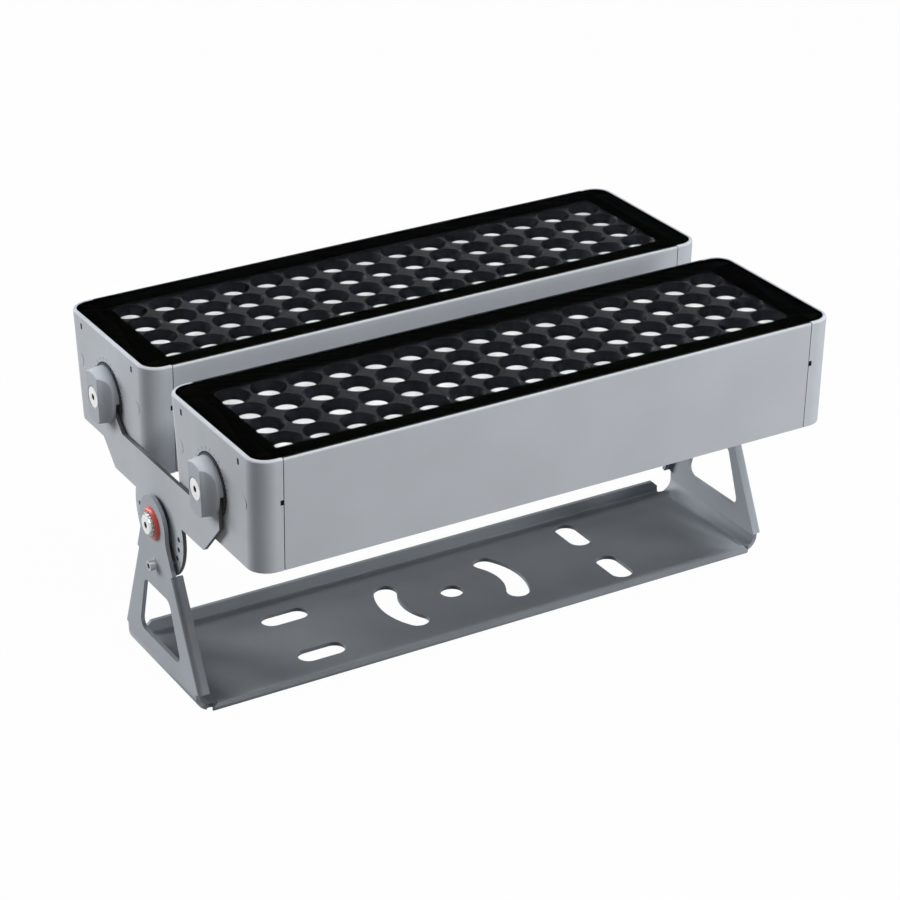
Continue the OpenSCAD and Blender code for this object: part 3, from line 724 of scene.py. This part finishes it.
@dataclass
class Bracket:
    """The folded steel bracket with its pivot and lock fixings, in millimetres."""

    edge: float = 0.35
    finishes: dict[str, Finish] = field(default_factory=lambda: {
        "base_bracket": Finish.BRACKET_PAINT,
        "pivot_bolts": Finish.SCREW_STEEL,
        "pivot_collars": Finish.RED_PLASTIC,
        "pivot_washers": Finish.DULL_STEEL,
        "pivot_spacers": Finish.DARK_STEEL,
        "pivot_nuts": Finish.SCREW_STEEL,
        "lock_screws": Finish.DULL_STEEL,
    })
    bolt_socket: HexSocket = HexSocket(face_x=318.7, corner_r=3.4, top=0.6, bottom=2.6)
    lock_socket: HexSocket = HexSocket(face_x=318.6, corner_r=2.9, top=0.6, bottom=2.6)
    lock_z: float = 121.0

    def paint_socket_shade(self) -> None:
        """Sets a painted shade piece in each hex socket of the pivot bolts and lock screws."""
        bolts = [self.bolt_socket.depth(side, 0, LAYOUT.pivot_z) for side in Side]
        locks = [self.lock_socket.depth(side, 0, self.lock_z) for side in Side]
        make_piece("pivot_bolt_socket_shade", "bracket", bolts, Finish.PAINTED_RECESS_SHADE)
        make_piece("lock_screw_socket_shade", "bracket", locks, Finish.PAINTED_RECESS_SHADE)

    def build(self) -> None:
        """Dresses every node of the bracket, breaks its edges and sets painted shade in its sockets."""
        for node, finish in self.finishes.items():
            dress(node, finish)
            soften(node, self.edge)
        self.paint_socket_shade()


@dataclass
class Yoke:
    """The two arm plates with the clamping knobs and their screws, in millimetres."""

    edge: float = 0.35
    screw_socket: HexSocket = HexSocket(face_x=316.25, corner_r=3.4, top=0.5, bottom=3.6)
    index_scale: Scale = Scale(face_x=305.0, first=90, last=270, reach=(46.6, 49.2))

    def paint_socket_shade(self) -> None:
        """Sets a painted shade piece in each hex socket of the knob screws."""
        blocks = [self.screw_socket.depth(side, y, LAYOUT.knob_z)
                  for side in Side for y in (-LAYOUT.row_y, LAYOUT.row_y)]
        make_piece("knob_screw_socket_shade", "yoke", blocks, Finish.PAINTED_RECESS_SHADE)

    def print_scale(self) -> None:
        """Prints a mark beside each index hole."""
        make_piece("arm_scale_marks", "yoke", self.index_scale.marks(0, LAYOUT.pivot_z), Finish.SCALE_INK)

    def build(self) -> None:
        """Dresses the arms, knobs and screws, breaks their edges, sets painted shade in the sockets and
        prints the scale.
        """
        for side in Side:
            end = side.name.lower()
            dress(f"{end}_arm", Finish.ARM_PAINT)
            soften(f"{end}_arm", self.edge)
            for row in Row:
                dress(f"{row.value}_{end}_knob", Finish.KNOB_PAINT)
                soften(f"{row.value}_{end}_knob", self.edge)
        dress("knob_screws", Finish.SCREW_STEEL)
        soften("knob_screws", self.edge)
        self.paint_socket_shade()
        self.print_scale()


@dataclass
class Lamp:
    """One lamp: body, caps, glass stack, optics and small fittings, in millimetres.

    The caps' faces are at end_x and their seams with the body at seam_x. The body is width wide at its top
    and leans in by taper on each side over its height. Each slot's size is along X, Y and Z.
    """

    row: Row
    edge: float = 0.3
    finishes: dict[str, Finish] = field(default_factory=lambda: {
        "housing": Finish.BODY_ALUMINIUM,
        "left_cap": Finish.CAP_PAINT,
        "right_cap": Finish.CAP_PAINT,
        "cap_gaskets": Finish.SEAL_RUBBER,
        "glass_gasket": Finish.SEAL_RUBBER,
        "border_mask": Finish.BLACK_PRINT,
        "glass": Finish.PANE_GLASS,
        "lens_plates": Finish.CUP_BLACK,
        "lenses": Finish.LENS_WHITE,
        "led_boards": Finish.BOARD_WHITE,
        "driver": Finish.DRIVER_CASE,
        "toothed_rings": Finish.RING_CASTING,
        "cap_screws": Finish.SCREW_STEEL,
        "cap_plugs": Finish.CAP_PAINT,
        "cable_gland": Finish.GLAND_PLASTIC,
        "vent_plug": Finish.GLAND_PLASTIC,
    })
    softened: tuple[str, ...] = ("cap_plugs", "cable_gland", "vent_plug")
    end_x: float = 300.0
    seam_x: float = 274.0
    width: float = 184.0
    taper: float = 7.0
    height: float = 110.0
    face_slot: Point = (6.0, 2.6, 4.6)
    face_slot_y: float = 57.5
    face_slot_drop: float = 10.3
    seam_slot: Point = (3.0, 4.0, 5.0)
    seam_slot_drop: float = 42.5
    slot_sink: float = 0.1
    # How far the painted shade frame round each face slot reaches past the opening, along Y and Z.
    slot_shade_frame: Span = (0.4, 0.6)
    knob_scale: Scale = Scale(face_x=300.0, first=-75, last=75, reach=(32.4, 35.2))

    @property
    def middle_y(self) -> float:
        """Y of the lamp's middle."""
        return -LAYOUT.row_y if self.row is Row.FRONT else LAYOUT.row_y

    def face_slot_blocks(self, side: Side, way: int) -> list[Block]:
        """Gives the painted shade of one slot in a cap's face: a dark piece in it and a thin dark frame round
        it.

        Args:
            side: the end of the lamp.
            way: -1 for the slot before the lamp's middle, and 1 for the one behind it.

        Returns:
            The two blocks.
        """
        deep, wide, tall = self.face_slot
        shade_frame_y, shade_frame_z = self.slot_shade_frame
        y = self.middle_y + way * self.face_slot_y
        z = LAYOUT.top_z - self.face_slot_drop
        depth_x = side.value * (self.end_x - (deep + self.slot_sink) / 2)
        shade_frame_x = side.value * (self.end_x + LAYOUT.ink / 2)
        play = 2 * LAYOUT.recess_play
        return [cuboid((depth_x, y, z), (deep - self.slot_sink - play, wide - play, tall - play)),
                cuboid((shade_frame_x, y, z), (LAYOUT.ink, wide + 2 * shade_frame_y, tall + 2 * shade_frame_z))]

    def seam_slot_block(self, side: Side, way: int) -> Block:
        """Gives the painted shade in one slot at the seam between body and cap, as a dark piece in its depth.

        Args:
            side: the end of the lamp.
            way: -1 for the slot in the lamp's front face, and 1 for the one in its rear face.

        Returns:
            The block.
        """
        wide, deep, tall = self.seam_slot
        half = self.width / 2 - self.taper * self.seam_slot_drop / self.height
        middle = (side.value * (self.seam_x + wide / 2),
                  self.middle_y + way * (half - (deep + self.slot_sink) / 2),
                  LAYOUT.top_z - self.seam_slot_drop)
        play = 2 * LAYOUT.recess_play
        return cuboid(middle, (wide - play, deep - self.slot_sink - play, tall - play))

    def paint_slot_shade(self) -> None:
        """Sets painted shade in the small slots of both end caps."""
        blocks = []
        for side in Side:
            for way in (-1, 1):
                blocks += self.face_slot_blocks(side, way)
                blocks.append(self.seam_slot_block(side, way))
        make_piece(f"{self.row.value}_slot_shade_pieces", f"{self.row.value}_lamp", blocks, Finish.PAINTED_RECESS_SHADE)

    def print_scale(self) -> None:
        """Prints the marks over both knobs."""
        marks = self.knob_scale.marks(self.middle_y, LAYOUT.knob_z)
        make_piece(f"{self.row.value}_scale_marks", f"{self.row.value}_lamp", marks, Finish.SCALE_INK)

    def build(self) -> None:
        """Dresses every node of the lamp, sets painted shade in its slots and prints its scales."""
        for part, finish in self.finishes.items():
            dress(f"{self.row.value}_{part}", finish)
        for part in self.softened:
            soften(f"{self.row.value}_{part}", self.edge)
        self.paint_slot_shade()
        self.print_scale()


def main() -> None:
    """Builds the studio and the floodlight's sub-assemblies."""
    logging.basicConfig(level=logging.INFO, format="%(name)s: %(message)s")
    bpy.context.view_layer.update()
    bpy.context.scene.view_settings.view_transform = "Standard"
    Studio().build()
    Bracket().build()
    Yoke().build()
    for row in Row:
        Lamp(row).build()


if __name__ == "__main__":
    main()
